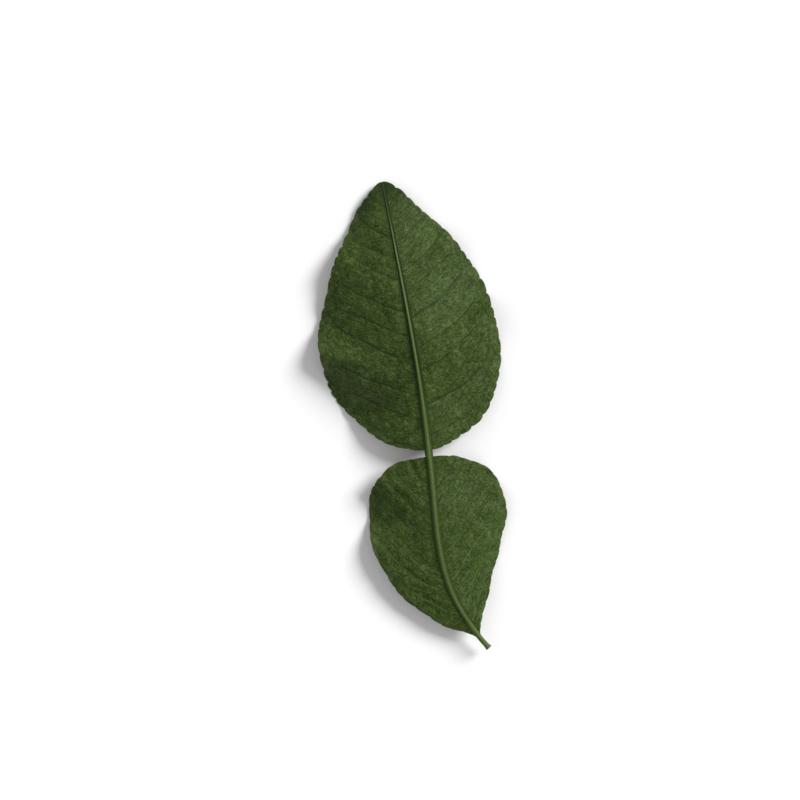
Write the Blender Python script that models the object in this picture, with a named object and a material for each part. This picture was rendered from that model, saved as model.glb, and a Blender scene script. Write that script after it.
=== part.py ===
"""A makrut lime leaf as picked: a double leaf that lies on its wavy edges with its underside up.

Run it with: blender --background --python part.py
The leaf grew as one piece, so it is one solid: a short stalk, a winged stalk, a joint and the blade, with
one midrib along them all. Metres, +Z up, +Y from the stalk's foot to the blade's tip. The origin is the
middle of the leaf's box, on the surface that it lies on.

The leaf is first laid out flat: v runs along the midrib from the foot, and u across it, to the right above 0.
"""

import math

import bmesh
import bpy
import numpy as np

MM = 0.001
LEFT, RIGHT = -1, 1
SIDES = (LEFT, RIGHT)

# Lengths along the midrib
STALK_LENGTH = 3.0 * MM
WING_LENGTH = 37.6 * MM
JOINT_LENGTH = 1.3 * MM
BLADE_LENGTH = 54.0 * MM
WING_START = STALK_LENGTH
JOINT_START = WING_START + WING_LENGTH
BLADE_START = JOINT_START + JOINT_LENGTH
LEAF_LENGTH = BLADE_START + BLADE_LENGTH

# Half widths, and how round each outline is at its lower and at its upper end
BLADE_HALF_WIDTH = {LEFT: 17.6 * MM, RIGHT: 16.4 * MM}
BLADE_ROUNDING = (0.60, 0.96)
WING_HALF_WIDTH = {LEFT: 12.6 * MM, RIGHT: 13.4 * MM}
WING_ROUNDING = (0.90, 0.40)
WING_FILLET = {LEFT: 2.8 * MM, RIGHT: 1.3 * MM}
STALK_RADIUS = 0.52 * MM
FOOT_RADIUS = 0.68 * MM
FOOT_FLARE = 1.2 * MM
JOINT_RADIUS = 0.80 * MM
TIP_RADIUS = 1.15 * MM

# The round teeth of the edge: their width, depth and fullness, how they lean towards the tip, and the
# stretch at each end where they die away. They get wider and narrower a few times along an edge, and deeper
# and shallower in slow swings, each given as its share, its number along an edge, and its lead in radians.
# The whole edge wanders in and out with the same swings
TOOTH_PITCH = 2.5 * MM
BLADE_TOOTH_DEPTH = 0.27 * MM
WING_TOOTH_DEPTH = 0.15 * MM
TOOTH_FULLNESS = 0.6
TOOTH_LEAN = 0.5
TOOTH_FADE = 0.75 * TOOTH_PITCH
TOOTH_WIDTH_SPREAD = 0.28
TOOTH_BEATS = 5
TOOTH_DEPTH_SPREAD = 0.45
EDGE_WANDER = 0.38 * MM
EDGE_WANDER_FADE = 7.0 * MM
UNEVEN_SWINGS = [(0.6, 2.3, 1.7), (0.4, 5.1, -0.8)]

# Thickness of the stalk's sides and of the blade, which is reached over a short stretch of the wing
STALK_THICKNESS = 0.42 * MM
BLADE_THICKNESS = 0.62 * MM
THICKENING_LENGTH = 2.8 * MM

# The midrib by v: its half width, and how far it stands out of the underside and of the upper face, all in mm
RIB_HALF_WIDTH = [(0.0, 0.52), (8.0, 0.62), (40.0, 0.74), (46.0, 0.72), (70.0, 0.50), (95.9, 0.26)]
RIB_HEIGHT = [(0.0, 0.34), (8.0, 0.46), (40.0, 0.60), (46.0, 0.56), (70.0, 0.38), (95.9, 0.10)]
RIB_BELLY = [(0.0, 0.30), (6.0, 0.24), (40.0, 0.20), (46.0, 0.18), (70.0, 0.12), (95.9, 0.04)]

# The midrib's course by v in mm: its heading in degrees to the right of +Y, and its lower face's height in mm
MIDRIB_HEADING = [
    (0.0, -34.0), (4.6, -27.0), (10.0, -20.0), (17.0, -7.0),
    (25.0, 2.0), (42.0, 3.0), (60.0, 0.0), (95.9, -2.0),
]
MIDRIB_HEIGHT = [
    (0.0, 2.6), (9.0, 3.4), (23.0, 5.2), (38.0, 4.7), (46.0, 5.1),
    (60.0, 7.4), (74.0, 6.6), (87.0, 3.7), (95.9, 0.9),
]

# How the two halves fall from the midrib to the edges, like a roof that rolls from side to side by degrees
FALL_AT_EDGE = {LEFT: 5.5 * MM, RIGHT: 5.9 * MM}
FALL_WIDTH = 17.0 * MM
FALL_CURVE = 0.45
CREST_ROUNDING = 0.07
ROLL = [(0.0, 0.4), (20.0, -0.8), (42.0, -1.6), (58.0, 1.6), (78.0, -3.6), (95.9, 2.4)]

# How the edges wave, with smaller ripples on the waves, and how softly they meet the surface. The waves run
# outwards and up the leaf, as its side veins do
WAVE_LENGTH = {LEFT: 20.5 * MM, RIGHT: 17.5 * MM}
WAVE_START = {LEFT: 28.6 * MM, RIGHT: 34.6 * MM}
WAVE_CLIMB = 0.55
WAVE_HEIGHT = 1.7 * MM
WAVE_GROWTH = 1.35
RIPPLE_SHARE = 0.4
RIPPLES_PER_WAVE = 1.7
RIPPLE_PHASE = 1.0
CONTACT_SOFTNESS = 0.28 * MM

# How finely the solid is faceted: the columns of a half crowd towards its edge
ROWS_PER_TOOTH = 3
STALK_ROWS = 4
JOINT_ROWS = 2
RIB_COLUMNS = 2
RIB_COLUMNS_SHARE = 0.6
BLADE_COLUMNS = 5
COLUMN_CROWDING = 2.1
CURVE_STEPS = 1200
SHARP_ANGLE = math.radians(40)

LEAF_GREEN = (0.060, 0.100, 0.030, 1.0)
LEAF_ROUGHNESS = 0.55


def through(knots, v):
    """A smooth curve through (v, value) knots, both in millimetres, read at v and given in metres."""
    at, value = np.array(knots).T * MM
    slope = np.gradient(value, at)
    i = np.clip(np.searchsorted(at, v) - 1, 0, len(at) - 2)
    span = at[i + 1] - at[i]
    t = np.clip((v - at[i]) / span, 0.0, 1.0)
    rise = value[i + 1] - value[i]
    bend = slope[i] * span - rise
    return value[i] + t * rise + t * (1 - t) * ((1 - t) * bend - t * (slope[i + 1] * span - rise))


def degrees_through(knots, v):
    """A smooth curve through knots of (v in millimetres, degrees), read at v and given in radians."""
    return np.radians(through(knots, v) / MM)


def lobe(t, rounding):
    """A leaf's half width by t from one end to the other: 0 at both ends and 1 at its widest."""
    lower, upper = rounding
    widest = lower / (lower + upper)
    return (t / widest) ** lower * ((1 - t) / (1 - widest)) ** upper


def blade_half_width(t, side):
    """The blade's half width at the share t of its length, with a small round tip."""
    to_tip = np.clip((1 - t) * BLADE_LENGTH / TIP_RADIUS, 0.0, 1.0)
    round_tip = np.sqrt(1 - (1 - to_tip) ** 2)
    stem = JOINT_RADIUS * (1 - t) + TIP_RADIUS * t
    return round_tip * (stem + BLADE_HALF_WIDTH[side] * lobe(t, BLADE_ROUNDING))


def wing_half_width(t, side):
    """The wing's half width at the share t of its length, which leaves the stalk in a hollow curve."""
    stem = STALK_RADIUS * (1 - t) + JOINT_RADIUS * t
    hollow = 1 - np.exp(-t * WING_LENGTH / WING_FILLET[side])
    return stem + WING_HALF_WIDTH[side] * lobe(t, WING_ROUNDING) * hollow


def smooth_edge(half_width, start, length, side):
    """The wing's or the blade's edge without teeth: its fine points (u, v), and the way along it to each."""
    t = (1 - np.cos(np.linspace(0, math.pi, CURVE_STEPS))) / 2
    edge = np.stack([half_width(t, side), start + length * t])
    along = np.concatenate([[0.0], np.cumsum(np.hypot(*np.diff(edge)))])
    return edge, along


def unevenness(share, side):
    """Between -1 and 1 by the share of an edge's length, differently on each side: swings out of step."""
    turns = 2 * math.pi * share
    return sum(size * np.sin(swings * turns + lead * side) for size, swings, lead in UNEVEN_SWINGS)


def toothed_edge(edge, along, teeth, tooth_depth, side):
    """Points (u, v) along an edge, as many for each tooth, sunk between teeth of uneven width and depth."""
    even = np.linspace(0, 1, teeth * ROWS_PER_TOOTH + 1)
    beats = 2 * math.pi * TOOTH_BEATS
    share = even + TOOTH_WIDTH_SPREAD * (np.sin(beats * even + side) - math.sin(side)) / beats
    stations = share * along[-1]
    u, v = (np.interp(stations, along, row) for row in edge)
    du, dv = np.gradient(u), np.gradient(v)
    phase = math.pi * teeth * even
    leaning = phase - TOOTH_LEAN * np.sin(phase) ** 2
    sink = 1 - np.abs(np.sin(leaning)) ** TOOTH_FULLNESS
    to_end = np.minimum(stations, along[-1] - stations)
    depth = tooth_depth * (1 + TOOTH_DEPTH_SPREAD * unevenness(1 - share, side)) * sink
    depth *= np.clip(to_end / TOOTH_FADE, 0.0, 1.0)
    depth += EDGE_WANDER * unevenness(share, side) * np.clip(to_end / EDGE_WANDER_FADE, 0.0, 1.0) ** 2
    depth /= np.hypot(du, dv)
    return np.stack([u - dv * depth, v + du * depth])


def section(half_width, start, length, tooth_depth):
    """The rows of the wing or the blade: the v of each row on the midrib, and its two ends on the edges."""
    edges = {side: smooth_edge(half_width, start, length, side) for side in SIDES}
    mean_edge = np.mean([along[-1] for _, along in edges.values()])
    teeth = round(float(mean_edge) / TOOTH_PITCH)
    ends = {side: toothed_edge(*edges[side], teeth, tooth_depth, side) for side in SIDES}
    even = start + length * np.linspace(0, 1, teeth * ROWS_PER_TOOTH + 1)
    level = (ends[LEFT][1] + ends[RIGHT][1]) / 2
    return (even + level) / 2, ends


def plain_rows(v, half_width):
    """Straight rows across the stalk or the joint."""
    return v, {side: np.stack([half_width, v]) for side in SIDES}


def all_rows():
    """Every row from the foot to the tip. The blade's last row would be a single point, so it is left out."""
    stalk_v = np.linspace(0, STALK_LENGTH, STALK_ROWS + 1)[:-1]
    flare = np.clip(1 - stalk_v / FOOT_FLARE, 0.0, 1.0) ** 2
    joint_v = np.linspace(JOINT_START, BLADE_START, JOINT_ROWS + 1)[1:-1]
    parts = [
        plain_rows(stalk_v, STALK_RADIUS + (FOOT_RADIUS - STALK_RADIUS) * flare),
        section(wing_half_width, WING_START, WING_LENGTH, WING_TOOTH_DEPTH),
        plain_rows(joint_v, np.full_like(joint_v, JOINT_RADIUS)),
        section(blade_half_width, BLADE_START, BLADE_LENGTH, BLADE_TOOTH_DEPTH),
    ]
    middle = np.concatenate([part_middle for part_middle, _ in parts])
    ends = {side: np.concatenate([part_ends[side] for _, part_ends in parts], axis=1) for side in SIDES}
    return middle[:-1], {side: ends[side][:, :-1] for side in SIDES}


def flat_grid():
    """The flat leaf's points (u, v): an array's row for each row of the leaf, from left edge to right."""
    middle, ends = all_rows()
    rib = through(RIB_HALF_WIDTH, middle)
    on_rib = np.linspace(0, 1, RIB_COLUMNS + 1)
    to_edge = 1 - (1 - np.linspace(0, 1, BLADE_COLUMNS + 1)[1:]) ** COLUMN_CROWDING
    halves = {}
    for side in SIDES:
        end_u, end_v = ends[side]
        rib_share = np.minimum(rib / end_u, RIB_COLUMNS_SHARE)[:, None]
        share = np.hstack([rib_share * on_rib, rib_share + (1 - rib_share) * to_edge])
        u = side * share * end_u[:, None]
        v = middle[:, None] + share * (end_v - middle)[:, None]
        halves[side] = (u, v)
    u, v = (np.hstack([left[:, :0:-1], right]) for left, right in zip(halves[LEFT], halves[RIGHT]))
    return u, v


def by_side(u, values):
    """The left or the right half's value, by where u is."""
    return np.where(u < 0, values[LEFT], values[RIGHT])


def lower_face_height(u, v):
    """Height of the face that lies down. It falls from the midrib to wavy edges, flat where they touch."""
    across = np.abs(u) / FALL_WIDTH
    roof = np.sqrt(across**2 + CREST_ROUNDING**2) - CREST_ROUNDING
    fall = by_side(u, FALL_AT_EDGE) * ((1 - FALL_CURVE) * roof + FALL_CURVE * across**2)
    way = v - WAVE_CLIMB * np.abs(u) - by_side(u, WAVE_START)
    phase = 2 * math.pi * way / by_side(u, WAVE_LENGTH)
    wave = np.sin(phase) + RIPPLE_SHARE * np.sin(RIPPLES_PER_WAVE * phase + RIPPLE_PHASE)
    waving = WAVE_HEIGHT * np.minimum(across, 1.0) ** WAVE_GROWTH * wave
    height = through(MIDRIB_HEIGHT, v) - fall + waving + u * np.tan(degrees_through(ROLL, v))
    touching = np.maximum(height + CONTACT_SOFTNESS, 0.0) ** 2 / (4 * CONTACT_SOFTNESS)
    return np.where(height > CONTACT_SOFTNESS, height, touching)


def dome(u, v, knots):
    """The round back of the midrib, by its height above the blade."""
    share = np.clip(np.abs(u) / through(RIB_HALF_WIDTH, v), 0.0, 1.0)
    return through(knots, v) * np.sqrt(1 - share**2)


def bent(u, v):
    """Where the flat point (u, v) is in plan, once the leaf follows its midrib's course."""
    along = np.linspace(0, LEAF_LENGTH, CURVE_STEPS)
    heading = degrees_through(MIDRIB_HEADING, along)
    step = along[1]
    course_x = np.concatenate([[0.0], np.cumsum(np.sin(heading[:-1]) * step)])
    course_y = np.concatenate([[0.0], np.cumsum(np.cos(heading[:-1]) * step)])
    turn = np.interp(v, along, heading)
    x = np.interp(v, along, course_x) + u * np.cos(turn)
    y = np.interp(v, along, course_y) - u * np.sin(turn)
    return x, y


def leaf_faces():
    """The points of the lower and of the upper face, as arrays of rows, columns and coordinates."""
    u, v = flat_grid()
    x, y = bent(u, v)
    x -= (x.min() + x.max()) / 2
    y -= (y.min() + y.max()) / 2
    into_wing = np.clip((v - STALK_LENGTH) / THICKENING_LENGTH, 0.0, 1.0)
    thickness = STALK_THICKNESS + (BLADE_THICKNESS - STALK_THICKNESS) * into_wing
    height = lower_face_height(u, v)
    lower = height - np.minimum(dome(u, v, RIB_BELLY), height)
    upper = height + thickness + dome(u, v, RIB_HEIGHT)
    return np.dstack([x, y, lower]), np.dstack([x, y, upper])


def rim_cells(rows, columns):
    """The rows and columns of the points round the edge, in order."""
    rim = [(0, j) for j in range(columns)]
    rim += [(i, columns - 1) for i in range(1, rows)]
    rim += [(rows - 1, j) for j in range(columns - 2, -1, -1)]
    rim += [(i, 0) for i in range(rows - 2, 0, -1)]
    return rim


def leaf_mesh():
    """The closed solid: both faces with the same triangles, mirrored at the midrib, and the rim between."""
    lower, upper = leaf_faces()
    mesh = bmesh.new()
    below = [[mesh.verts.new(point) for point in row] for row in lower]
    above = [[mesh.verts.new(point) for point in row] for row in upper]
    rows, columns = lower.shape[:2]
    for i in range(rows - 1):
        for j in range(columns - 1):
            corners = [(i, j), (i, j + 1), (i + 1, j + 1), (i + 1, j)]
            if j < columns // 2:
                corners = corners[1:] + corners[:1]
            for triangle in (corners[:3], [corners[0], corners[2], corners[3]]):
                mesh.faces.new([above[row][column] for row, column in triangle])
                mesh.faces.new([below[row][column] for row, column in reversed(triangle)])
    rim = rim_cells(rows, columns)
    for (i, j), (next_i, next_j) in zip(rim, rim[1:] + rim[:1]):
        mesh.faces.new([below[i][j], below[next_i][next_j], above[next_i][next_j], above[i][j]])
    return mesh


def leaf_material():
    material = bpy.data.materials.new("leaf_green")
    material.use_nodes = True
    shader = material.node_tree.nodes["Principled BSDF"]
    shader.inputs["Base Color"].default_value = LEAF_GREEN
    shader.inputs["Roughness"].default_value = LEAF_ROUGHNESS
    shader.inputs["Metallic"].default_value = 0.0
    return material


def build_leaf():
    mesh = leaf_mesh()
    data = bpy.data.meshes.new("makrut_lime_leaf")
    mesh.to_mesh(data)
    mesh.free()
    data.shade_smooth()
    data.set_sharp_from_angle(angle=SHARP_ANGLE)
    data.materials.append(leaf_material())
    leaf = bpy.data.objects.new("makrut_lime_leaf", data)
    bpy.context.scene.collection.objects.link(leaf)
    return leaf


for old in list(bpy.data.objects):
    bpy.data.objects.remove(old)
build_leaf()
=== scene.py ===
"""The looks of a makrut lime leaf that lies with its matt underside up, seen from above.

The leaf is one fine mesh. Its outline and its heights come from the same named values and formulas as the
solid that it replaces, with a thinner blade, round stalk and edges, raised veins and a dried leaf's wrinkles.
Metres, +Z up, +Y from the stalk's foot to the blade's tip. The flat leaf's u runs across it, to the right
above zero, and v along the midrib from the foot.
"""

import math

import bpy
import numpy as np
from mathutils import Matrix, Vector, noise


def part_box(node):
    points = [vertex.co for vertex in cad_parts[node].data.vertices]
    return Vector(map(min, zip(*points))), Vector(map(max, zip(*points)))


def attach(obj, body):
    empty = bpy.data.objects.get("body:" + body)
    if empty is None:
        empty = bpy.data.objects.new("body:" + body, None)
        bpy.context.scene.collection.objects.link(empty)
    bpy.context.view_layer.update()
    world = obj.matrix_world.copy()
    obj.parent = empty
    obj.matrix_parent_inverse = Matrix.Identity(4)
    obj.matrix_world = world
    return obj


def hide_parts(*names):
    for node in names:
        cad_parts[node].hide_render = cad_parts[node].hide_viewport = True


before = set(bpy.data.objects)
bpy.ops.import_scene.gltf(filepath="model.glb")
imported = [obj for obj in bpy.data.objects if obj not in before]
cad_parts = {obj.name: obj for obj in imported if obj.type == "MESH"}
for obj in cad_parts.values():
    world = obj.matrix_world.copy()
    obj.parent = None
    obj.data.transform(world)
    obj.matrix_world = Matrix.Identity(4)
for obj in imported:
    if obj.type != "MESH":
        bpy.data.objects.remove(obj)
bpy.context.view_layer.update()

MM = 0.001
LEFT, RIGHT = -1, 1
SIDES = (LEFT, RIGHT)

# The solid's outline: lengths along the midrib, half widths, and how round each outline is at its two ends
STALK_LENGTH = 3.0 * MM
WING_LENGTH = 37.6 * MM
JOINT_LENGTH = 1.3 * MM
BLADE_LENGTH = 54.0 * MM
WING_START = STALK_LENGTH
JOINT_START = WING_START + WING_LENGTH
BLADE_START = JOINT_START + JOINT_LENGTH
LEAF_LENGTH = BLADE_START + BLADE_LENGTH
BLADE_HALF_WIDTH = {LEFT: 17.6 * MM, RIGHT: 16.4 * MM}
BLADE_ROUNDING = (0.60, 0.96)
WING_HALF_WIDTH = {LEFT: 12.6 * MM, RIGHT: 13.4 * MM}
WING_ROUNDING = (0.90, 0.40)
WING_FILLET = {LEFT: 2.8 * MM, RIGHT: 1.3 * MM}
STALK_RADIUS = 0.52 * MM
FOOT_RADIUS = 0.68 * MM
FOOT_FLARE = 1.2 * MM
JOINT_RADIUS = 0.80 * MM
TIP_RADIUS = 1.15 * MM
TOOTH_PITCH = 2.5 * MM
BLADE_TOOTH_DEPTH = 0.27 * MM
WING_TOOTH_DEPTH = 0.15 * MM
TOOTH_FULLNESS = 0.6
TOOTH_LEAN = 0.5
TOOTH_FADE = 0.75 * TOOTH_PITCH
TOOTH_WIDTH_SPREAD = 0.28
TOOTH_BEATS = 5
TOOTH_DEPTH_SPREAD = 0.45
EDGE_WANDER = 0.38 * MM
EDGE_WANDER_FADE = 7.0 * MM
UNEVEN_SWINGS = [(0.6, 2.3, 1.7), (0.4, 5.1, -0.8)]

# The solid's midrib and surface, by v in mm
RIB_HALF_WIDTH = [(0.0, 0.52), (8.0, 0.62), (40.0, 0.74), (46.0, 0.72), (70.0, 0.50), (95.9, 0.26)]
RIB_HEIGHT = [(0.0, 0.34), (8.0, 0.46), (40.0, 0.60), (46.0, 0.56), (70.0, 0.38), (95.9, 0.10)]
RIB_BELLY = [(0.0, 0.30), (6.0, 0.24), (40.0, 0.20), (46.0, 0.18), (70.0, 0.12), (95.9, 0.04)]
MIDRIB_HEADING = [
    (0.0, -34.0), (4.6, -27.0), (10.0, -20.0), (17.0, -7.0),
    (25.0, 2.0), (42.0, 3.0), (60.0, 0.0), (95.9, -2.0),
]
MIDRIB_HEIGHT = [
    (0.0, 2.6), (9.0, 3.4), (23.0, 5.2), (38.0, 4.7), (46.0, 5.1),
    (60.0, 7.4), (74.0, 6.6), (87.0, 3.7), (95.9, 0.9),
]
FALL_AT_EDGE = {LEFT: 5.5 * MM, RIGHT: 5.9 * MM}
FALL_WIDTH = 17.0 * MM
FALL_CURVE = 0.45
CREST_ROUNDING = 0.07
ROLL = [(0.0, 0.4), (20.0, -0.8), (42.0, -1.6), (58.0, 1.6), (78.0, -3.6), (95.9, 2.4)]
WAVE_LENGTH = {LEFT: 20.5 * MM, RIGHT: 17.5 * MM}
WAVE_START = {LEFT: 28.6 * MM, RIGHT: 34.6 * MM}
WAVE_CLIMB = 0.55
WAVE_HEIGHT = 1.7 * MM
WAVE_GROWTH = 1.35
RIPPLE_SHARE = 0.4
RIPPLES_PER_WAVE = 1.7
RIPPLE_PHASE = 1.0
CONTACT_SOFTNESS = 0.28 * MM

# The real blade's thickness, how round its edge and its rib's back are, how far into the wing the stalk stays
# round, and how far on both sides of the joint the rib does
BLADE_THICKNESS = 0.32 * MM
EDGE_RADIUS = 0.20 * MM
RIB_SHOULDER, RIB_SLOPE = 2.2, 1.5
ROUND_STALK_END = 2.6 * MM
ROUND_STALK_FADE = 4.5 * MM
ROUND_JOINT_SHARE = 0.92
ROUND_JOINT_FADE = 2.5 * MM

# Side veins: the way between two along the midrib, how far each climbs for its length, how unevenly they lie,
# and where the arches join them. They stand out of the underside, or lie in it below zero, by v in mm. That
# fades out between two shares of the way to the edge and between two half widths of the leaf, and the rib
# covers the veins up to a share of its own half width
VEIN_SPACING = {"wing": 5.4 * MM, "blade": 6.3 * MM}
VEIN_CLIMB = {"wing": 0.95, "blade": 0.66}
VEIN_CURVE = 1.25
VEIN_CROWDING = 0.20
VEIN_WOBBLE = 0.13
WOBBLE_LENGTH = 15.0 * MM
VEIN_OFFSET = {LEFT: 0.05, RIGHT: 0.52}
VEIN_WANDER = 0.09
VEIN_WANDER_SIZE = 5.0 * MM
ARCH_SHARE = 0.79
ARCH_RISE = 0.11
VEIN_HEIGHT = [(0.0, 0.05), (34.0, 0.05), (46.0, -0.07), (95.9, -0.05)]
VEIN_SPREAD = 0.30 * MM
VEIN_RIDGE_FADE = (0.55, 0.90)
VEINLESS_HALF_WIDTH = (1.5 * MM, 3.5 * MM)
VEINS_LEAVE_RIB = 0.8

# The dried blade's relief: how far it swells between side veins, its wrinkles by size and height, finer folds
# that run along the veins, and how far from the rib and the edge the relief is full
QUILT_HEIGHT = 0.20 * MM
WRINKLES = [(7.5 * MM, 0.36 * MM), (2.9 * MM, 0.20 * MM), (1.3 * MM, 0.07 * MM)]
FOLD_HEIGHT = 0.15 * MM
FOLD_SIZE = 1.8 * MM
RELIEF_FADE = 2.5 * MM

# Folds and streaks are long along the side veins, because that way is squeezed to this share
STREAK_SQUEEZE = 0.45

# How finely the leaf is meshed
ROWS_PER_TOOTH = 8
STALK_ROWS = 24
JOINT_ROWS = 8
RIB_COLUMNS = 8
RIB_COLUMNS_SHARE = 0.6
BLADE_COLUMNS = 46
EDGE_COLUMNS = 4
EDGE_COLUMNS_SHARE = 0.3
CURVE_STEPS = 1200

# Where the photograph shows the tip and the stalk's foot, in pixels, and the camera that took it
PHOTO_SIZE = 800
PHOTO_TIP = (382, 182)
PHOTO_FOOT = (489, 648)
CAMERA_DISTANCE = 0.556
SENSOR_WIDTH = 36.0

# The floor, the lights and the surroundings. A light's spread is in degrees, and it shines from its place
FLOOR_HALF_WIDTH = 15.0
KEY_STRENGTH, KEY_SPREAD, KEY_PLACE = 4.0, 27.0, (1.13, 0.48, 0.80)
FILL_STRENGTH, FILL_SPREAD, FILL_PLACE = 0.35, 50.0, (-1.0, 0.2, 1.1)
HORIZON_STRENGTH = 1.05
OVERHEAD_STRENGTH = 0.38
BRIGHT_BELOW = 0.5


def through(knots, v):
    """A smooth curve through (v, value) knots, both in millimetres, read at v and given in metres."""
    at, value = np.array(knots).T * MM
    slope = np.gradient(value, at)
    i = np.clip(np.searchsorted(at, v) - 1, 0, len(at) - 2)
    span = at[i + 1] - at[i]
    t = np.clip((v - at[i]) / span, 0.0, 1.0)
    rise = value[i + 1] - value[i]
    bend = slope[i] * span - rise
    return value[i] + t * rise + t * (1 - t) * ((1 - t) * bend - t * (slope[i + 1] * span - rise))


def degrees_through(knots, v):
    """A smooth curve through knots of (v in millimetres, degrees), read at v and given in radians."""
    return np.radians(through(knots, v) / MM)


def ease(x):
    """From 0 to 1 as x does, smooth at both ends."""
    x = np.clip(x, 0.0, 1.0)
    return x * x * (3 - 2 * x)


def ease_between(x, low, high):
    """From 0 where x is low to 1 where it is high, smooth at both ends."""
    return ease((x - low) / (high - low))


def lobe(t, rounding):
    """A leaf's half width by t from one end to the other: 0 at both ends and 1 at its widest."""
    lower, upper = rounding
    widest = lower / (lower + upper)
    return (t / widest) ** lower * ((1 - t) / (1 - widest)) ** upper


def blade_half_width(t, side):
    """The blade's half width at the share t of its length, with a small round tip."""
    to_tip = np.clip((1 - t) * BLADE_LENGTH / TIP_RADIUS, 0.0, 1.0)
    round_tip = np.sqrt(1 - (1 - to_tip) ** 2)
    stem = JOINT_RADIUS * (1 - t) + TIP_RADIUS * t
    return round_tip * (stem + BLADE_HALF_WIDTH[side] * lobe(t, BLADE_ROUNDING))


def wing_half_width(t, side):
    """The wing's half width at the share t of its length, which leaves the stalk in a hollow curve."""
    stem = STALK_RADIUS * (1 - t) + JOINT_RADIUS * t
    hollow = 1 - np.exp(-t * WING_LENGTH / WING_FILLET[side])
    return stem + WING_HALF_WIDTH[side] * lobe(t, WING_ROUNDING) * hollow


def smooth_edge(half_width, start, length, side):
    """The wing's or the blade's edge without teeth: its fine points (u, v), and the way along it to each."""
    t = (1 - np.cos(np.linspace(0, math.pi, CURVE_STEPS))) / 2
    edge = np.stack([half_width(t, side), start + length * t])
    along = np.concatenate([[0.0], np.cumsum(np.hypot(*np.diff(edge)))])
    return edge, along


def unevenness(share, side):
    """Between -1 and 1 by the share of an edge's length, differently on each side: swings out of step."""
    turns = 2 * math.pi * share
    return sum(size * np.sin(swings * turns + lead * side) for size, swings, lead in UNEVEN_SWINGS)


def toothed_edge(edge, along, teeth, tooth_depth, side):
    """Points (u, v) along an edge, as many for each tooth, sunk between teeth of uneven width and depth."""
    even = np.linspace(0, 1, teeth * ROWS_PER_TOOTH + 1)
    beats = 2 * math.pi * TOOTH_BEATS
    share = even + TOOTH_WIDTH_SPREAD * (np.sin(beats * even + side) - math.sin(side)) / beats
    stations = share * along[-1]
    u, v = (np.interp(stations, along, row) for row in edge)
    du, dv = np.gradient(u), np.gradient(v)
    phase = math.pi * teeth * even
    leaning = phase - TOOTH_LEAN * np.sin(phase) ** 2
    sink = 1 - np.abs(np.sin(leaning)) ** TOOTH_FULLNESS
    to_end = np.minimum(stations, along[-1] - stations)
    depth = tooth_depth * (1 + TOOTH_DEPTH_SPREAD * unevenness(1 - share, side)) * sink
    depth *= np.clip(to_end / TOOTH_FADE, 0.0, 1.0)
    depth += EDGE_WANDER * unevenness(share, side) * np.clip(to_end / EDGE_WANDER_FADE, 0.0, 1.0) ** 2
    depth /= np.hypot(du, dv)
    return np.stack([u - dv * depth, v + du * depth])


def section(half_width, start, length, tooth_depth):
    """The rows of the wing or the blade: the v of each row on the midrib, and its two ends on the edges."""
    edges = {side: smooth_edge(half_width, start, length, side) for side in SIDES}
    mean_edge = np.mean([along[-1] for _, along in edges.values()])
    teeth = round(float(mean_edge) / TOOTH_PITCH)
    ends = {side: toothed_edge(*edges[side], teeth, tooth_depth, side) for side in SIDES}
    even = start + length * np.linspace(0, 1, teeth * ROWS_PER_TOOTH + 1)
    level = (ends[LEFT][1] + ends[RIGHT][1]) / 2
    return (even + level) / 2, ends


def plain_rows(v, half_width):
    """Straight rows across the stalk or the joint."""
    return v, {side: np.stack([half_width, v]) for side in SIDES}


def all_rows():
    """Every row from the foot to the tip, whose own row would be a single point and is left out."""
    stalk_v = np.linspace(0, STALK_LENGTH, STALK_ROWS + 1)[:-1]
    flare = np.clip(1 - stalk_v / FOOT_FLARE, 0.0, 1.0) ** 2
    joint_v = np.linspace(JOINT_START, BLADE_START, JOINT_ROWS + 1)[1:-1]
    parts = [
        plain_rows(stalk_v, STALK_RADIUS + (FOOT_RADIUS - STALK_RADIUS) * flare),
        section(wing_half_width, WING_START, WING_LENGTH, WING_TOOTH_DEPTH),
        plain_rows(joint_v, np.full_like(joint_v, JOINT_RADIUS)),
        section(blade_half_width, BLADE_START, BLADE_LENGTH, BLADE_TOOTH_DEPTH),
    ]
    middle = np.concatenate([part_middle for part_middle, _ in parts])
    ends = {side: np.concatenate([part_ends[side] for _, part_ends in parts], axis=1) for side in SIDES}
    return middle[:-1], {side: ends[side][:, :-1] for side in SIDES}


def column_shares(rib_share, edge_share):
    """How far from the midrib to the edge each column is, by row: crowded on the rib and at the edge."""
    on_rib = rib_share * np.linspace(0, 1, RIB_COLUMNS + 1)
    on_blade = np.linspace(0, 1, BLADE_COLUMNS + 1)[1:]
    at_edge = 1 - (1 - np.linspace(0, 1, EDGE_COLUMNS + 1)[1:]) ** 2
    edge_start = 1 - edge_share
    between = rib_share + (edge_start - rib_share) * on_blade
    return np.hstack([on_rib, between, edge_start + edge_share * at_edge])


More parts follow.
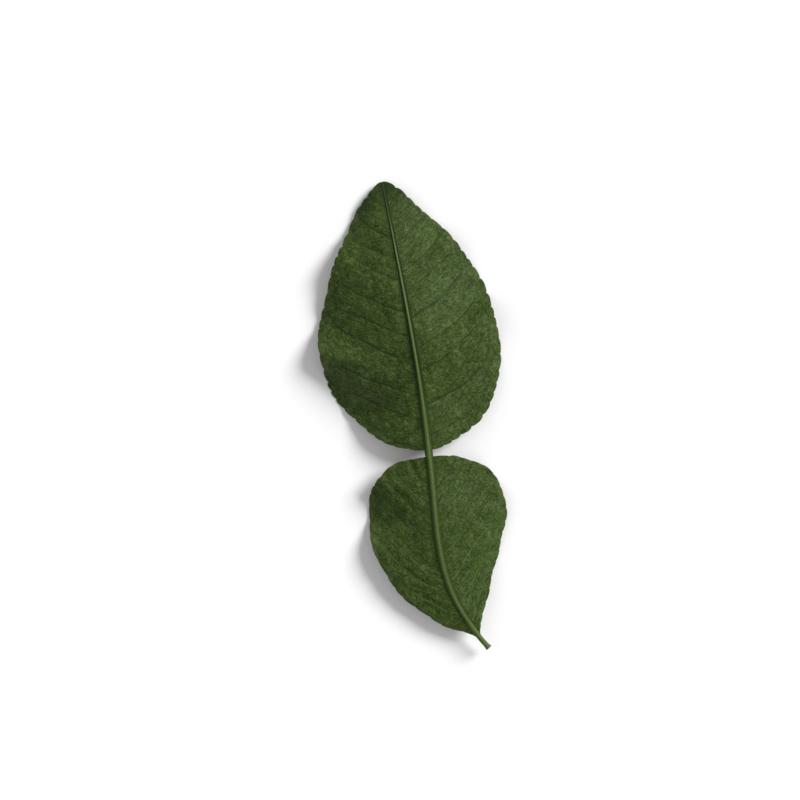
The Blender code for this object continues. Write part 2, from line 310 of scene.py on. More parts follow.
def flat_leaf():
    """The flat leaf, as arrays of rows by columns: u, v, and where each point is by the veins and edge."""
    middle, ends = all_rows()
    rib = through(RIB_HALF_WIDTH, middle)
    rib += (JOINT_RADIUS - rib) * near_joint(middle)
    halves = {}
    for side in SIDES:
        end_u, end_v = ends[side]
        on_stalk = middle < STALK_LENGTH
        rib_here = np.where(on_stalk, end_u, np.minimum(rib, end_u))
        rib_share = np.minimum(rib_here / end_u, RIB_COLUMNS_SHARE)[:, None]
        edge_share = np.minimum(EDGE_RADIUS / end_u, EDGE_COLUMNS_SHARE)[:, None]
        share = column_shares(rib_share, edge_share)
        row_length = np.hypot(end_u, end_v - middle)[:, None]
        tip_way = LEAF_LENGTH - middle[:, None]
        u = side * share * end_u[:, None]
        v = middle[:, None] + share * (end_v - middle)[:, None]
        vein = vein_number(middle[:, None], end_u[:, None], share, side)
        vein += VEIN_WANDER * bumpy(u, v, VEIN_WANDER_SIZE)
        arch = ARCH_SHARE + ARCH_RISE * np.abs(np.sin(math.pi * vein))
        halves[side] = {
            "u": u,
            "v": v,
            "share": share,
            "to_edge": np.minimum((1 - share) * row_length, tip_way),
            "rib": share * (end_u / rib_here)[:, None],
            "rib_half_width": np.broadcast_to(rib_here[:, None], share.shape),
            "vein": vein,
            "past_arch": (share - arch) * row_length,
            "row_half_width": np.broadcast_to(end_u[:, None], share.shape),
        }
    return {key: np.hstack([halves[LEFT][key][:, :0:-1], halves[RIGHT][key]]) for key in halves[LEFT]}


def near_joint(v):
    """1 on the joint, and less and less away from it on both sides."""
    from_joint = np.abs(v - (JOINT_START + BLADE_START) / 2) - JOINT_LENGTH / 2
    return 1 - ease(from_joint / ROUND_JOINT_FADE)


def vein_number(middle, half_width, share, side):
    """A count that is whole on each side vein and runs evenly between them."""
    number = 0.0
    for part, start, length in (("wing", WING_START, WING_LENGTH), ("blade", BLADE_START, BLADE_LENGTH)):
        climb = VEIN_CLIMB[part] * half_width * share**VEIN_CURVE
        root = middle - start - climb
        count = root / VEIN_SPACING[part] * (1 + VEIN_CROWDING * root / length)
        wobble = VEIN_WOBBLE * np.sin(2 * math.pi * root / WOBBLE_LENGTH + side + start / MM)
        here = (middle >= start) & (middle < start + length)
        number = np.where(here, count + wobble + VEIN_OFFSET[side], number)
    return number


def by_side(u, values):
    """The left or the right half's value, by where u is."""
    return np.where(u < 0, values[LEFT], values[RIGHT])


def bumpy(u, v, size):
    """Soft bumps of about one size, between -1 and 1, the same on every run."""
    values = [noise.noise(Vector((a, b, size / MM))) for a, b in zip(u.ravel() / size, v.ravel() / size)]
    return np.array(values).reshape(u.shape)


def relief_height(leaf):
    """How the dried blade wrinkles and swells between its side veins. The rib and the stalk stay smooth."""
    off_rib = ease((np.abs(leaf["u"]) - leaf["rib_half_width"]) / RELIEF_FADE)
    off_edge = ease(leaf["to_edge"] / RELIEF_FADE)
    quilt = QUILT_HEIGHT * np.abs(np.sin(math.pi * leaf["vein"])) * off_edge
    wrinkles = sum(height * bumpy(leaf["u"], leaf["v"], size) for size, height in WRINKLES)
    along_vein = leaf["u"] * STREAK_SQUEEZE
    across_vein = leaf["vein"] * VEIN_SPACING["blade"]
    folds = FOLD_HEIGHT * bumpy(along_vein, across_vein, FOLD_SIZE)
    return off_rib * (wrinkles + quilt + folds)


def vein_distance(leaf):
    """The way to the nearest side vein, measured along the midrib."""
    from_whole = np.abs(leaf["vein"] - np.round(leaf["vein"]))
    return from_whole * VEIN_SPACING["blade"]


def vein_ridge(leaf):
    """How far the side veins stand out of the underside, or lie in it below zero: less towards the edge."""
    ridge = through(VEIN_HEIGHT, leaf["v"]) * np.exp(-((vein_distance(leaf) / VEIN_SPREAD) ** 2))
    in_wide_part = ease_between(leaf["row_half_width"], *VEINLESS_HALF_WIDTH)
    off_edge = 1 - ease_between(leaf["share"], *VEIN_RIDGE_FADE)
    return ridge * in_wide_part * off_edge * ease(leaf["rib"] - VEINS_LEAVE_RIB)


def lower_face_height(leaf):
    """Height of the face that lies down. It falls from the midrib to wavy edges, flat where they touch."""
    u, v = leaf["u"], leaf["v"]
    across = np.abs(u) / FALL_WIDTH
    roof = np.sqrt(across**2 + CREST_ROUNDING**2) - CREST_ROUNDING
    fall = by_side(u, FALL_AT_EDGE) * ((1 - FALL_CURVE) * roof + FALL_CURVE * across**2)
    way = v - WAVE_CLIMB * np.abs(u) - by_side(u, WAVE_START)
    phase = 2 * math.pi * way / by_side(u, WAVE_LENGTH)
    wave = np.sin(phase) + RIPPLE_SHARE * np.sin(RIPPLES_PER_WAVE * phase + RIPPLE_PHASE)
    waving = WAVE_HEIGHT * np.minimum(across, 1.0) ** WAVE_GROWTH * wave
    height = through(MIDRIB_HEIGHT, v) - fall + waving + u * np.tan(degrees_through(ROLL, v))
    height += relief_height(leaf)
    touching = np.maximum(height + CONTACT_SOFTNESS, 0.0) ** 2 / (4 * CONTACT_SOFTNESS)
    return np.where(height > CONTACT_SOFTNESS, height, touching)


def bent(u, v):
    """Where the flat point (u, v) is in plan, once the leaf follows its midrib's course."""
    along = np.linspace(0, LEAF_LENGTH, CURVE_STEPS)
    heading = degrees_through(MIDRIB_HEADING, along)
    step = along[1]
    course_x = np.concatenate([[0.0], np.cumsum(np.sin(heading[:-1]) * step)])
    course_y = np.concatenate([[0.0], np.cumsum(np.cos(heading[:-1]) * step)])
    turn = np.interp(v, along, heading)
    x = np.interp(v, along, course_x) + u * np.cos(turn)
    y = np.interp(v, along, course_y) - u * np.sin(turn)
    return x, y


def half_thickness(leaf, rib_knots):
    """From the middle of the blade's thickness to one of its faces: thin at the edge, thick on the rib."""
    rim = np.clip(leaf["to_edge"] / EDGE_RADIUS, 0.0, 1.0)
    blade = BLADE_THICKNESS / 2 * np.sqrt(1 - (1 - rim) ** 2)
    across = np.clip(leaf["rib"], 0.0, 1.0)
    ridge = through(rib_knots, leaf["v"]) * (1 - across**RIB_SHOULDER) ** RIB_SLOPE
    stalk = 1 - ease((leaf["v"] - ROUND_STALK_END) / ROUND_STALK_FADE)
    joint = ROUND_JOINT_SHARE * near_joint(leaf["v"])
    round_rib = np.maximum(stalk, joint) * leaf["rib_half_width"] * np.sqrt(1 - across**2)
    return np.maximum(blade + ridge, round_rib)


def leaf_faces(leaf):
    """The points of the lower and of the upper face, as arrays of rows, columns and coordinates."""
    x, y = bent(leaf["u"], leaf["v"])
    low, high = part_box("makrut_lime_leaf")
    x += (low.x + high.x - x.min() - x.max()) / 2
    y += (low.y + high.y - y.min() - y.max()) / 2
    middle = lower_face_height(leaf) + BLADE_THICKNESS / 2
    lower = np.maximum(middle - half_thickness(leaf, RIB_BELLY), 0.0)
    upper = middle + half_thickness(leaf, RIB_HEIGHT) + vein_ridge(leaf)
    return np.dstack([x, y, lower]), np.dstack([x, y, upper])


def face_lists(rows, columns):
    """The corners of every face, upper face first, as point indices. Both faces share their edge points."""
    above = np.arange(rows * columns).reshape(rows, columns)
    below = above + rows * columns
    below[:, 0] = above[:, 0]
    below[:, -1] = above[:, -1]

    def cells(grid):
        corners = [grid[:-1, :-1], grid[:-1, 1:], grid[1:, 1:], grid[1:, :-1]]
        return np.stack([c.ravel() for c in corners], axis=1)

    def end_strip(top, bottom):
        strip = [(bottom[j], bottom[j + 1], top[j + 1], top[j]) for j in range(1, len(top) - 2)]
        first = (top[0], bottom[1], top[1])
        last = (bottom[-2], top[-1], top[-2])
        return [first, *strip, last]

    upper = cells(above).tolist()
    lower = cells(below)[:, ::-1].tolist()
    foot = end_strip(above[0], below[0])
    tip = [face[::-1] for face in end_strip(above[-1], below[-1])]
    return upper, lower, foot + tip


def add_attribute(mesh, name, values):
    """A number for each point, for the materials."""
    attribute = mesh.attributes.new(name, "FLOAT", "POINT")
    attribute.data.foreach_set("value", values.astype(np.float32))


def make_leaf():
    """Makes the leaf, with its materials and the numbers that they read. Gives its upper face's points."""
    leaf = flat_leaf()
    lower, upper = leaf_faces(leaf)
    rows, columns = leaf["u"].shape
    points = np.concatenate([upper.reshape(-1, 3), lower.reshape(-1, 3)])
    upper_faces, lower_faces, end_faces = face_lists(rows, columns)
    faces = upper_faces + lower_faces + end_faces
    used = np.zeros(len(points), bool)
    for face in faces:
        used[list(face)] = True
    new_index = np.cumsum(used) - 1
    mesh = bpy.data.meshes.new("leaf")
    mesh.from_pydata(points[used].tolist(), [], [[int(new_index[i]) for i in face] for face in faces])
    numbers = {
        "across_mm": leaf["u"] / MM,
        "along_mm": leaf["v"] / MM,
        "vein": leaf["vein"],
        "share": leaf["share"],
        "past_arch_mm": leaf["past_arch"] / MM,
        "edge_mm": leaf["to_edge"] / MM,
        "rib": leaf["rib"],
    }
    for name, values in numbers.items():
        add_attribute(mesh, name, np.tile(values.ravel(), 2)[used])
    mesh.materials.append(underside_material())
    mesh.materials.append(upper_side_material())
    material_index = np.zeros(len(faces), np.int32)
    material_index[len(upper_faces):len(upper_faces) + len(lower_faces)] = 1
    mesh.polygons.foreach_set("material_index", material_index)
    mesh.shade_smooth()
    piece = bpy.data.objects.new("leaf_surface", mesh)
    bpy.context.scene.collection.objects.link(piece)
    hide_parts("makrut_lime_leaf")
    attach(piece, "root")
    return upper


class Shading:
    """Short names for the nodes of one material."""

    def __init__(self, name):
        self.material = bpy.data.materials.new(name)
        self.material.use_nodes = True
        self.tree = self.material.node_tree
        self.shader = self.tree.nodes["Principled BSDF"]

    def put(self, node, key, value):
        """Gives a node's input a plain value, or links another node's output to it."""
        if isinstance(value, bpy.types.NodeSocket):
            self.tree.links.new(value, node.inputs[key])
        else:
            node.inputs[key].default_value = value

    def node(self, kind, inputs, **settings):
        made = self.tree.nodes.new(kind)
        for name, value in settings.items():
            setattr(made, name, value)
        for key, value in inputs.items():
            self.put(made, key, value)
        return made

    def surface(self, base, roughness, specular, normal=None):
        """Sets what the surface is like, and gives its material."""
        inputs = {"Base Color": base, "Roughness": roughness, "Specular IOR Level": specular}
        if normal is not None:
            inputs["Normal"] = normal
        for key, value in inputs.items():
            self.put(self.shader, key, value)
        return self.material

    def attribute(self, name):
        return self.node("ShaderNodeAttribute", {}, attribute_name=name).outputs["Fac"]

    def math(self, operation, *values):
        return self.node("ShaderNodeMath", dict(enumerate(values)), operation=operation).outputs[0]

    def vector_math(self, operation, inputs):
        return self.node("ShaderNodeVectorMath", inputs, operation=operation).outputs[0]

    def place(self, x, y):
        return self.node("ShaderNodeCombineXYZ", {"X": x, "Y": y}).outputs[0]

    def map_range(self, value, low, high, to_low, to_high, **settings):
        inputs = {"Value": value, "From Min": low, "From Max": high, "To Min": to_low, "To Max": to_high}
        return self.node("ShaderNodeMapRange", inputs, **settings).outputs[0]

    def range(self, value, low, high, to_low=0.0, to_high=1.0):
        """From to_low where value is low to to_high where it is high, smooth and held outside."""
        return self.map_range(value, low, high, to_low, to_high, interpolation_type="SMOOTHSTEP")

    def blend(self, patterns, shares):
        """The sum of the named patterns, each times its share."""
        total = 0.0
        for name, share in shares.items():
            total = self.math("MULTIPLY_ADD", patterns[name], share, total)
        return total

    def mix(self, share, first, second):
        """The first colour where the share is 0, and the second where it is 1."""
        inputs = {0: share, MIX_COLOURS[0]: first, MIX_COLOURS[1]: second}
        return self.node("ShaderNodeMix", inputs, data_type="RGBA").outputs[MIX_RESULT]

    def tint(self, base, pattern, layer, tone):
        """A base colour under a tone. Its layer says where it starts, where it is full, and its cover."""
        start, full, cover = layer
        return self.mix(self.range(pattern, start, full, 0.0, cover), base, tone)

    def tint_where(self, base, where, cover, tone):
        """A base colour under a tone, which covers it by where the tone lies times its cover."""
        return self.mix(self.math("MULTIPLY", where, cover), base, tone)

    def noise(self, place, scale, detail, roughness):
        inputs = {"Vector": place, "Scale": scale, "Detail": detail, "Roughness": roughness}
        return self.node("ShaderNodeTexNoise", inputs).outputs["Fac"]

    def warped(self, place, scale, reach):
        """The place moved about by soft noise, so that patterns there run unevenly."""
        shift = self.node("ShaderNodeTexNoise", {"Vector": place, "Scale": scale, "Detail": 1.0})
        centred = self.vector_math("SUBTRACT", {0: shift.outputs["Color"], 1: (0.5, 0.5, 0.5)})
        scaled = self.vector_math("SCALE", {0: centred, "Scale": reach})
        return self.vector_math("ADD", {0: place, 1: scaled})

    def cells(self, place, scale, feature="F1"):
        inputs = {"Vector": place, "Scale": scale}
        return self.node("ShaderNodeTexVoronoi", inputs, feature=feature).outputs["Distance"]

    def bump(self, height, depth, normal=None):
        inputs = {"Height": height, "Strength": 1.0, "Distance": depth}
        if normal is not None:
            inputs["Normal"] = normal
        return self.node("ShaderNodeBump", inputs).outputs["Normal"]


def colour(red, green, blue):
    return (red, green, blue, 1.0)


# A mix's inputs and output for colours, among those that the node has for other kinds of values
MIX_COLOURS = (6, 7)
MIX_RESULT = 2

# Colours, as linear light
UNDERSIDE_DARK = colour(0.0105, 0.0240, 0.0014)
UNDERSIDE_MIDDLE = colour(0.0290, 0.0525, 0.0056)
UNDERSIDE_LIGHT = colour(0.0770, 0.1150, 0.0325)
UNDERSIDE_VEIN = colour(0.0120, 0.0255, 0.0036)
UNDERSIDE_PALE_VEIN = colour(0.0620, 0.1050, 0.0250)
UNDERSIDE_EDGE = colour(0.0600, 0.0800, 0.0220)
UNDERSIDE_SPOT = colour(0.0420, 0.0300, 0.0130)
MIDRIB_ON_WING = colour(0.0560, 0.0860, 0.0210)
MIDRIB_ON_BLADE = colour(0.0900, 0.1340, 0.0340)
# Painted shade for the midrib's flanks and the strip along its left foot
PAINTED_RIB_SHADE = colour(0.0055, 0.0125, 0.0016)
STALK = colour(0.0640, 0.1060, 0.0260)
STALK_CUT = colour(0.1100, 0.0950, 0.0620)
UPPER_DARK = colour(0.0150, 0.0360, 0.0045)
UPPER_LIGHT = colour(0.0300, 0.0620, 0.0090)
UPPER_VEIN = colour(0.0560, 0.0950, 0.0190)
FLOOR_PALE = colour(0.86, 0.86, 0.86)

# How rough and how shiny each surface is
UNDERSIDE_SHEEN = (0.62, 0.12)
UPPER_SHEEN = (0.38, 0.3)
FLOOR_SHEEN = (0.9, 0.0)

# Noise patterns: swells to the millimetre, how many finer layers each has, and how strong those are
PATCHES = (0.14, 2.0, 0.5)
FOLDS = (0.42, 2.0, 0.55)
MOTTLE = (1.15, 3.0, 0.65)
STREAKS = (1.9, 3.0, 0.65)
GRAINS = (3.0, 3.0, 0.7)
VEIN_FADING = (0.22, 2.0, 0.5)
THIN_VEIN_FADING = (0.31, 2.0, 0.5)
UPPER_MOTTLE = (0.5, 4.0, 0.6)

# Cell patterns, in cells to the millimetre. Soft noise moves two of them about, by its swells to the
# millimetre and its reach in mm
NET_CELLS = 0.62
SPOT_CELLS = 0.105
GLAND_CELLS = 1.35
UPPER_GLAND_CELLS = 1.25
UNEVENNESS = (0.7, 1.3)

# What the underside's tone and its fine relief are made of
TONE_SHARES = {"patches": 0.22, "folds": 0.33, "mottle": 0.45}
RELIEF_SHARES = {"mottle": 0.6, "grains": 0.4}

# A layer of colour follows a pattern. It starts at the pattern's first value here and is full at the second,
# where it covers what is below it as far as the third says. These layers make the blade's own green, except
# the last one, which is painted shade that darkens the blade towards the tip
GREEN_LAYERS = [
    ("tone", (0.36, 0.50, 1.0), UNDERSIDE_MIDDLE),
    ("tone", (0.49, 0.66, 1.0), UNDERSIDE_LIGHT),
    ("streaks", (0.50, 0.66, 0.55), UNDERSIDE_LIGHT),
    ("streaks", (0.47, 0.33, 0.55), UNDERSIDE_DARK),
    ("grains", (0.52, 0.66, 0.85), UNDERSIDE_LIGHT),
    ("grains", (0.46, 0.34, 0.75), UNDERSIDE_DARK),
    ("glands", (0.27, 0.12, 0.60), UNDERSIDE_VEIN),
    ("net", (0.08, 0.01, 0.34), UNDERSIDE_VEIN),
    # Painted shade: the blade darker towards the tip
    ("along_mm", (88.0, 95.5, 0.80), UNDERSIDE_DARK),
]

# Side veins: how far each reaches to both sides and where it ends past the arches, in mm. Its core and the
# arches are shares of that reach, and the arches are fainter. Noise takes a vein from its faintest to its
# full tone between two values
SIDE_VEIN_REACH = 0.27
UPPER_VEIN_REACH = 0.30
SIDE_VEIN_END = 0.4
SIDE_VEIN_CORE = 0.3
ARCH_REACH, ARCH_CORE = 0.9, 0.25
ARCH_COVER = 0.7
FAINT_BY_NOISE = (0.34, 0.60)
FAINTEST = 0.60

# Thin veins: their reach and core in mm, how far out they start to show and are full, and what breaks them
THIN_VEIN_REACH = (0.20, 0.06)
THIN_VEIN_BY_SHARE = (0.70, 0.35)
THIN_VEIN_BY_NOISE = (0.40, 0.60)

# How far the veins cover the green, and where along the wing the underside's ones turn pale, in mm
SIDE_VEIN_COVER = 0.85
THIN_VEIN_COVER = 0.40
UPPER_VEIN_COVER = 0.6
PALE_VEINS_BY_V = (34.0, 18.0)

# The edge, by mm from it: a dry seam where the folds are high, and a pale rim. Then the brown spots
DRY_BY_EDGE, DRY_BY_FOLDS, DRY_COVER = (1.6, 0.1), (0.42, 0.62), 0.35
RIM_LAYER = (0.16, 0.05, 0.8)
SPOT_LAYER = (0.045, 0.025, 0.75)

# The midrib, by the share of its half width. The green is calmer near it. Painted shade darkens its flanks,
# the right one most on the blade, and a strip along the rib's left foot. How far this painted shade covers
# changes from the wing to the blade, between two places in mm. The two sides meet on its middle line, within
# a small way in mm
CALM_LAYER = (1.35, 1.05, 0.7)
WING_TO_BLADE = (42.0, 62.0)
FLANK_SHADE_BY_RIB = (1.45, 0.95)
LEFT_FLANK_SHADE_COVER = 0.25
RIGHT_FLANK_SHADE_COVER = (0.30, 0.90)
CREASE_SHADE_BY_RIB = (2.9, 0.9)
CREASE_SHADE_COVER = (0.0, 0.60)
SIDES_MEET = 0.1

# Its bright crest: where along the leaf it narrows, from what share to what, and the share where it is full.
# It gains in strength, fades towards the tip, and changes its tone from the wing to the blade
CREST_NARROWS, CREST_EDGE = (30.0, 62.0), (0.72, 0.46)
CREST_FULL = 0.10
CREST_GAIN = 1.7
CREST_FADES, CREST_AT_TIP = (93.0, 78.0), 0.15
MIDRIB_BRIGHTENS = (25.0, 70.0)

# The stalk's green by mm from the foot and by the share of the rib's half width, and its dry end
STALK_BY_V, STALK_BY_RIB = (8.0, 3.0), (1.1, 0.9)
CUT_LAYER = (1.1, 0.2, 1.0)

# The face that lies down: its light patches, its rib and its stalk
UPPER_LIGHT_LAYER = (0.35, 0.65, 1.0)
UPPER_RIB_LAYER = (0.9, 0.5, 1.0)
UPPER_STALK_LAYER = (9.0, 4.0, 1.0)

# Fine relief, too small for the mesh: its depths, how weak it is on the rib, and the cells' edges
FINE_DEPTH = 0.20 * MM
CELL_DEPTH = 0.04 * MM
UPPER_DEPTH = 0.10 * MM
RELIEF_BY_RIB, RELIEF_ON_RIB = (1.0, 1.5), 0.35
NET_SLOPE = (0.0, 0.25)
GLAND_SLOPE = (0.10, 0.30)
UPPER_GLAND_SLOPE = (0.08, 0.28)


def leaf_place(s):
    """The flat leaf's own millimetres as a place for the patterns."""
    return s.place(s.attribute("across_mm"), s.attribute("along_mm"))


def vein_place(s):
    """A place whose first coordinate runs along the side veins and is squeezed, for patterns of streaks."""
    along_vein = s.math("MULTIPLY", s.attribute("across_mm"), STREAK_SQUEEZE)
    across_vein = s.math("MULTIPLY", s.attribute("vein"), VEIN_SPACING["blade"] / MM)
    return s.place(along_vein, across_vein)


def way_to_whole(s, number):
    """The way in mm, along the midrib, to where a vein number is next whole."""
    from_whole = s.math("ABSOLUTE", s.math("SUBTRACT", number, s.math("ROUND", number)))
    return s.math("MULTIPLY", from_whole, VEIN_SPACING["blade"] / MM)


def side_veins(s, place, reach):
    """From 0 to 1 on the side veins, and on the arches that join them near the edge."""
    past_arch = s.attribute("past_arch_mm")
    side = s.range(way_to_whole(s, s.attribute("vein")), reach, reach * SIDE_VEIN_CORE)
    side = s.math("MULTIPLY", side, s.range(past_arch, SIDE_VEIN_END, -SIDE_VEIN_END))
    arch = s.range(s.math("ABSOLUTE", past_arch), reach * ARCH_REACH, reach * ARCH_CORE)
    line = s.math("MAXIMUM", side, s.math("MULTIPLY", arch, ARCH_COVER))
    return s.math("MULTIPLY", line, s.range(s.noise(place, *VEIN_FADING), *FAINT_BY_NOISE, FAINTEST, 1.0))


def thin_veins(s, place):
    """From 0 to 1 on the thin veins half way between the side veins, near the midrib."""
    way = way_to_whole(s, s.math("ADD", s.attribute("vein"), 0.5))
    near_rib = s.range(s.attribute("share"), *THIN_VEIN_BY_SHARE)
    line = s.math("MULTIPLY", s.range(way, *THIN_VEIN_REACH), near_rib)
    return s.math("MULTIPLY", line, s.range(s.noise(place, *THIN_VEIN_FADING), *THIN_VEIN_BY_NOISE))


def underside_patterns(s, place):
    """What the underside's layers and relief follow, by name."""
    uneven_place = s.warped(place, *UNEVENNESS)
    patterns = {
        "patches": s.noise(place, *PATCHES),
        "folds": s.noise(place, *FOLDS),
        "mottle": s.noise(place, *MOTTLE),
        "streaks": s.noise(vein_place(s), *STREAKS),
        "grains": s.noise(place, *GRAINS),
        "net": s.cells(uneven_place, NET_CELLS, "DISTANCE_TO_EDGE"),
        "spots": s.cells(uneven_place, SPOT_CELLS),
        "glands": s.cells(place, GLAND_CELLS),
    }
    patterns["tone"] = s.blend(patterns, TONE_SHARES)
    for name in ("across_mm", "along_mm", "edge_mm", "rib"):
        patterns[name] = s.attribute(name)
    return patterns


def with_veins(s, base, patterns, place):
    """The underside's veins on a base colour."""
    vein_colour = s.mix(s.range(patterns["along_mm"], *PALE_VEINS_BY_V), UNDERSIDE_VEIN, UNDERSIDE_PALE_VEIN)
    base = s.tint_where(base, thin_veins(s, place), THIN_VEIN_COVER, vein_colour)
    return s.tint_where(base, side_veins(s, place, SIDE_VEIN_REACH), SIDE_VEIN_COVER, vein_colour)


def with_edge_and_spots(s, base, patterns):
    """The underside's dry edge and its brown spots on a base colour."""
    edge = patterns["edge_mm"]
    dry = s.math("MULTIPLY", s.range(edge, *DRY_BY_EDGE), s.range(patterns["folds"], *DRY_BY_FOLDS))
    base = s.tint_where(base, dry, DRY_COVER, UNDERSIDE_EDGE)
    base = s.tint(base, edge, RIM_LAYER, UNDERSIDE_EDGE)
    return s.tint(base, patterns["spots"], SPOT_LAYER, UNDERSIDE_SPOT)


def with_rib(s, base, patterns):
    """The midrib on a base colour, with painted shade on its flanks and in a strip beside it, and its bright
    crest.
    """
    across, along, rib = patterns["across_mm"], patterns["along_mm"], patterns["rib"]
    base = s.tint(base, rib, CALM_LAYER, UNDERSIDE_MIDDLE)
    # Painted shade: darker flanks, the right one most on the blade, and a darker strip along the rib's left
    # side
    right_flank_shade = s.range(along, *WING_TO_BLADE, *RIGHT_FLANK_SHADE_COVER)
    flank_shade = s.range(across, -SIDES_MEET, SIDES_MEET, LEFT_FLANK_SHADE_COVER, right_flank_shade)
    base = s.tint_where(base, s.range(rib, *FLANK_SHADE_BY_RIB), flank_shade, PAINTED_RIB_SHADE)
    crease_shade = s.range(across, SIDES_MEET, -SIDES_MEET, 0.0, s.range(along, *WING_TO_BLADE, *CREASE_SHADE_COVER))
    base = s.tint_where(base, s.range(rib, *CREASE_SHADE_BY_RIB), crease_shade, PAINTED_RIB_SHADE)
    crest = s.map_range(rib, s.range(along, *CREST_NARROWS, *CREST_EDGE), CREST_FULL, 0.0, 1.0)
    crest = s.math("MULTIPLY", crest, s.range(along, *CREST_FADES, CREST_AT_TIP, 1.0))
    crest = s.math("MINIMUM", s.math("MULTIPLY", crest, CREST_GAIN), 1.0)
    midrib = s.mix(s.range(along, *MIDRIB_BRIGHTENS), MIDRIB_ON_WING, MIDRIB_ON_BLADE)
    return s.mix(crest, base, midrib)


def underside_relief(s, patterns):
    """The underside's finest relief: mottling, the net of the finest veins, and oil glands."""
    on_rib = s.range(patterns["rib"], *RELIEF_BY_RIB, RELIEF_ON_RIB, 1.0)
    normal = s.bump(s.math("MULTIPLY", s.blend(patterns, RELIEF_SHARES), on_rib), FINE_DEPTH)
    normal = s.bump(s.range(patterns["net"], *NET_SLOPE), CELL_DEPTH, normal)
    return s.bump(s.range(patterns["glands"], *GLAND_SLOPE), CELL_DEPTH, normal)


def underside_material():
    """The face that lies up: matt green, finely mottled, with thin darker side veins and a bright midrib, and
    with painted shade beside the midrib and towards the tip.
    """
    s = Shading("leaf_underside")
    place = leaf_place(s)
    patterns = underside_patterns(s, place)
    base = UNDERSIDE_DARK
    for name, layer, tone in GREEN_LAYERS:
        base = s.tint(base, patterns[name], layer, tone)
    base = with_veins(s, base, patterns, place)
    base = with_edge_and_spots(s, base, patterns)
    base = with_rib(s, base, patterns)
    on_stalk = s.range(patterns["along_mm"], *STALK_BY_V)
    base = s.tint_where(base, s.range(patterns["rib"], *STALK_BY_RIB), on_stalk, STALK)
    base = s.tint(base, patterns["along_mm"], CUT_LAYER, STALK_CUT)
    return s.surface(base, *UNDERSIDE_SHEEN, underside_relief(s, patterns))


def upper_side_material():
    """The face that lies down: dark, glossier green with paler veins and oil-gland pits."""
    s = Shading("leaf_upper_side")
    place = leaf_place(s)
    along = s.attribute("along_mm")
    mottle = s.noise(place, *UPPER_MOTTLE)
    base = s.tint(UPPER_DARK, mottle, UPPER_LIGHT_LAYER, UPPER_LIGHT)
    base = s.tint_where(base, side_veins(s, place, UPPER_VEIN_REACH), UPPER_VEIN_COVER, UPPER_VEIN)
    base = s.tint(base, s.attribute("rib"), UPPER_RIB_LAYER, UPPER_VEIN)
    base = s.tint(base, along, UPPER_STALK_LAYER, STALK)
    base = s.tint(base, along, CUT_LAYER, STALK_CUT)
    glands = s.range(s.cells(place, UPPER_GLAND_CELLS), *UPPER_GLAND_SLOPE)
    return s.surface(base, *UPPER_SHEEN, s.bump(glands, CELL_DEPTH, s.bump(mottle, UPPER_DEPTH)))


def make_floor():
    mesh = bpy.data.meshes.new("floor")
    half = FLOOR_HALF_WIDTH
    corners = [(-half, -half, 0.0), (half, -half, 0.0), (half, half, 0.0), (-half, half, 0.0)]
    mesh.from_pydata(corners, [], [(0, 1, 2, 3)])
    mesh.materials.append(Shading("floor_pale").surface(FLOOR_PALE, *FLOOR_SHEEN))
    floor = bpy.data.objects.new("floor", mesh)
    bpy.context.scene.collection.objects.link(floor)


def make_light(name, strength, spread, place):
    """Even, soft light that comes from the direction of a place. The spread is its width in degrees."""
    data = bpy.data.lights.new(name, "SUN")
    data.energy = strength
    data.angle = math.radians(spread)
    light = bpy.data.objects.new(name, data)
    bpy.context.scene.collection.objects.link(light)
    light.location = place
    light.rotation_euler = Vector(place).to_track_quat("Z", "Y").to_euler()


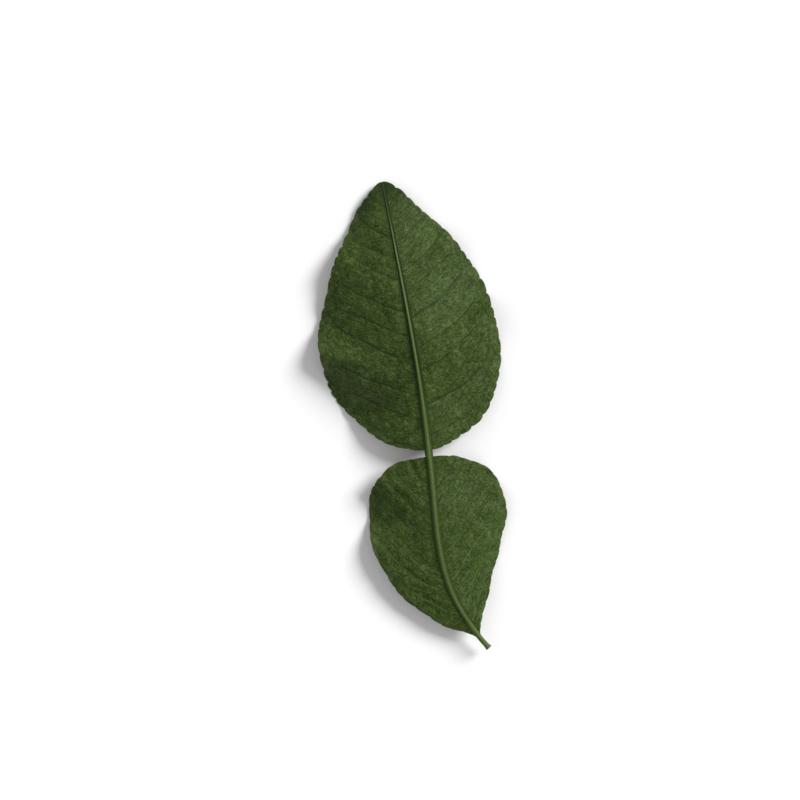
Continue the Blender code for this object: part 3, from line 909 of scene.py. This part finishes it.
def make_surroundings():
    """Pale surroundings, brightest at the horizon, so that the floor and what is behind it are alike."""
    world = bpy.data.worlds.new("pale")
    bpy.context.scene.world = world
    world.use_nodes = True
    nodes, links = world.node_tree.nodes, world.node_tree.links
    direction = nodes.new("ShaderNodeTexCoord")
    parts = nodes.new("ShaderNodeSeparateXYZ")
    links.new(direction.outputs["Generated"], parts.inputs[0])
    strength = nodes.new("ShaderNodeMapRange")
    strength.interpolation_type = "SMOOTHSTEP"
    strength.inputs["From Max"].default_value = BRIGHT_BELOW
    strength.inputs["To Min"].default_value = HORIZON_STRENGTH
    strength.inputs["To Max"].default_value = OVERHEAD_STRENGTH
    links.new(parts.outputs["Z"], strength.inputs["Value"])
    links.new(strength.outputs[0], nodes["Background"].inputs["Strength"])
    nodes["Background"].inputs["Color"].default_value = colour(1.0, 1.0, 1.0)


def make_stage_light():
    """A soft key light from the right, a weaker one from the left, and pale surroundings."""
    make_surroundings()
    make_light("key", KEY_STRENGTH, KEY_SPREAD, KEY_PLACE)
    make_light("fill", FILL_STRENGTH, FILL_SPREAD, FILL_PLACE)


def make_camera(upper):
    """A camera straight above, turned and placed so that tip and foot are where the photograph has them."""
    middle_column = upper.shape[1] // 2
    foot, tip = upper[0, middle_column], upper[-1, middle_column]
    foot, tip = (Vector(p[:2]) * CAMERA_DISTANCE / (CAMERA_DISTANCE - p[2]) for p in (foot, tip))
    photo_foot = Vector((PHOTO_FOOT[0], -PHOTO_FOOT[1]))
    photo_tip = Vector((PHOTO_TIP[0], -PHOTO_TIP[1]))
    photo_centre = Vector((PHOTO_SIZE / 2, -PHOTO_SIZE / 2))
    pixel = (foot - tip).length / (photo_foot - photo_tip).length
    turn = math.atan2(*(foot - tip).yx) - math.atan2(*(photo_foot - photo_tip).yx)
    to_centre = (photo_centre - photo_tip) * pixel
    to_centre = Vector((
        to_centre.x * math.cos(turn) - to_centre.y * math.sin(turn),
        to_centre.x * math.sin(turn) + to_centre.y * math.cos(turn),
    ))
    centre = tip + to_centre
    data = bpy.data.cameras.new("camera")
    data.sensor_width = SENSOR_WIDTH
    data.lens = SENSOR_WIDTH * CAMERA_DISTANCE / (pixel * PHOTO_SIZE)
    camera = bpy.data.objects.new("camera", data)
    bpy.context.scene.collection.objects.link(camera)
    camera.location = (centre.x, centre.y, CAMERA_DISTANCE)
    camera.rotation_euler = (0.0, 0.0, turn)
    bpy.context.scene.camera = camera


bpy.context.scene.view_settings.view_transform = "Standard"
upper_points = make_leaf()
make_floor()
make_stage_light()
make_camera(upper_points)
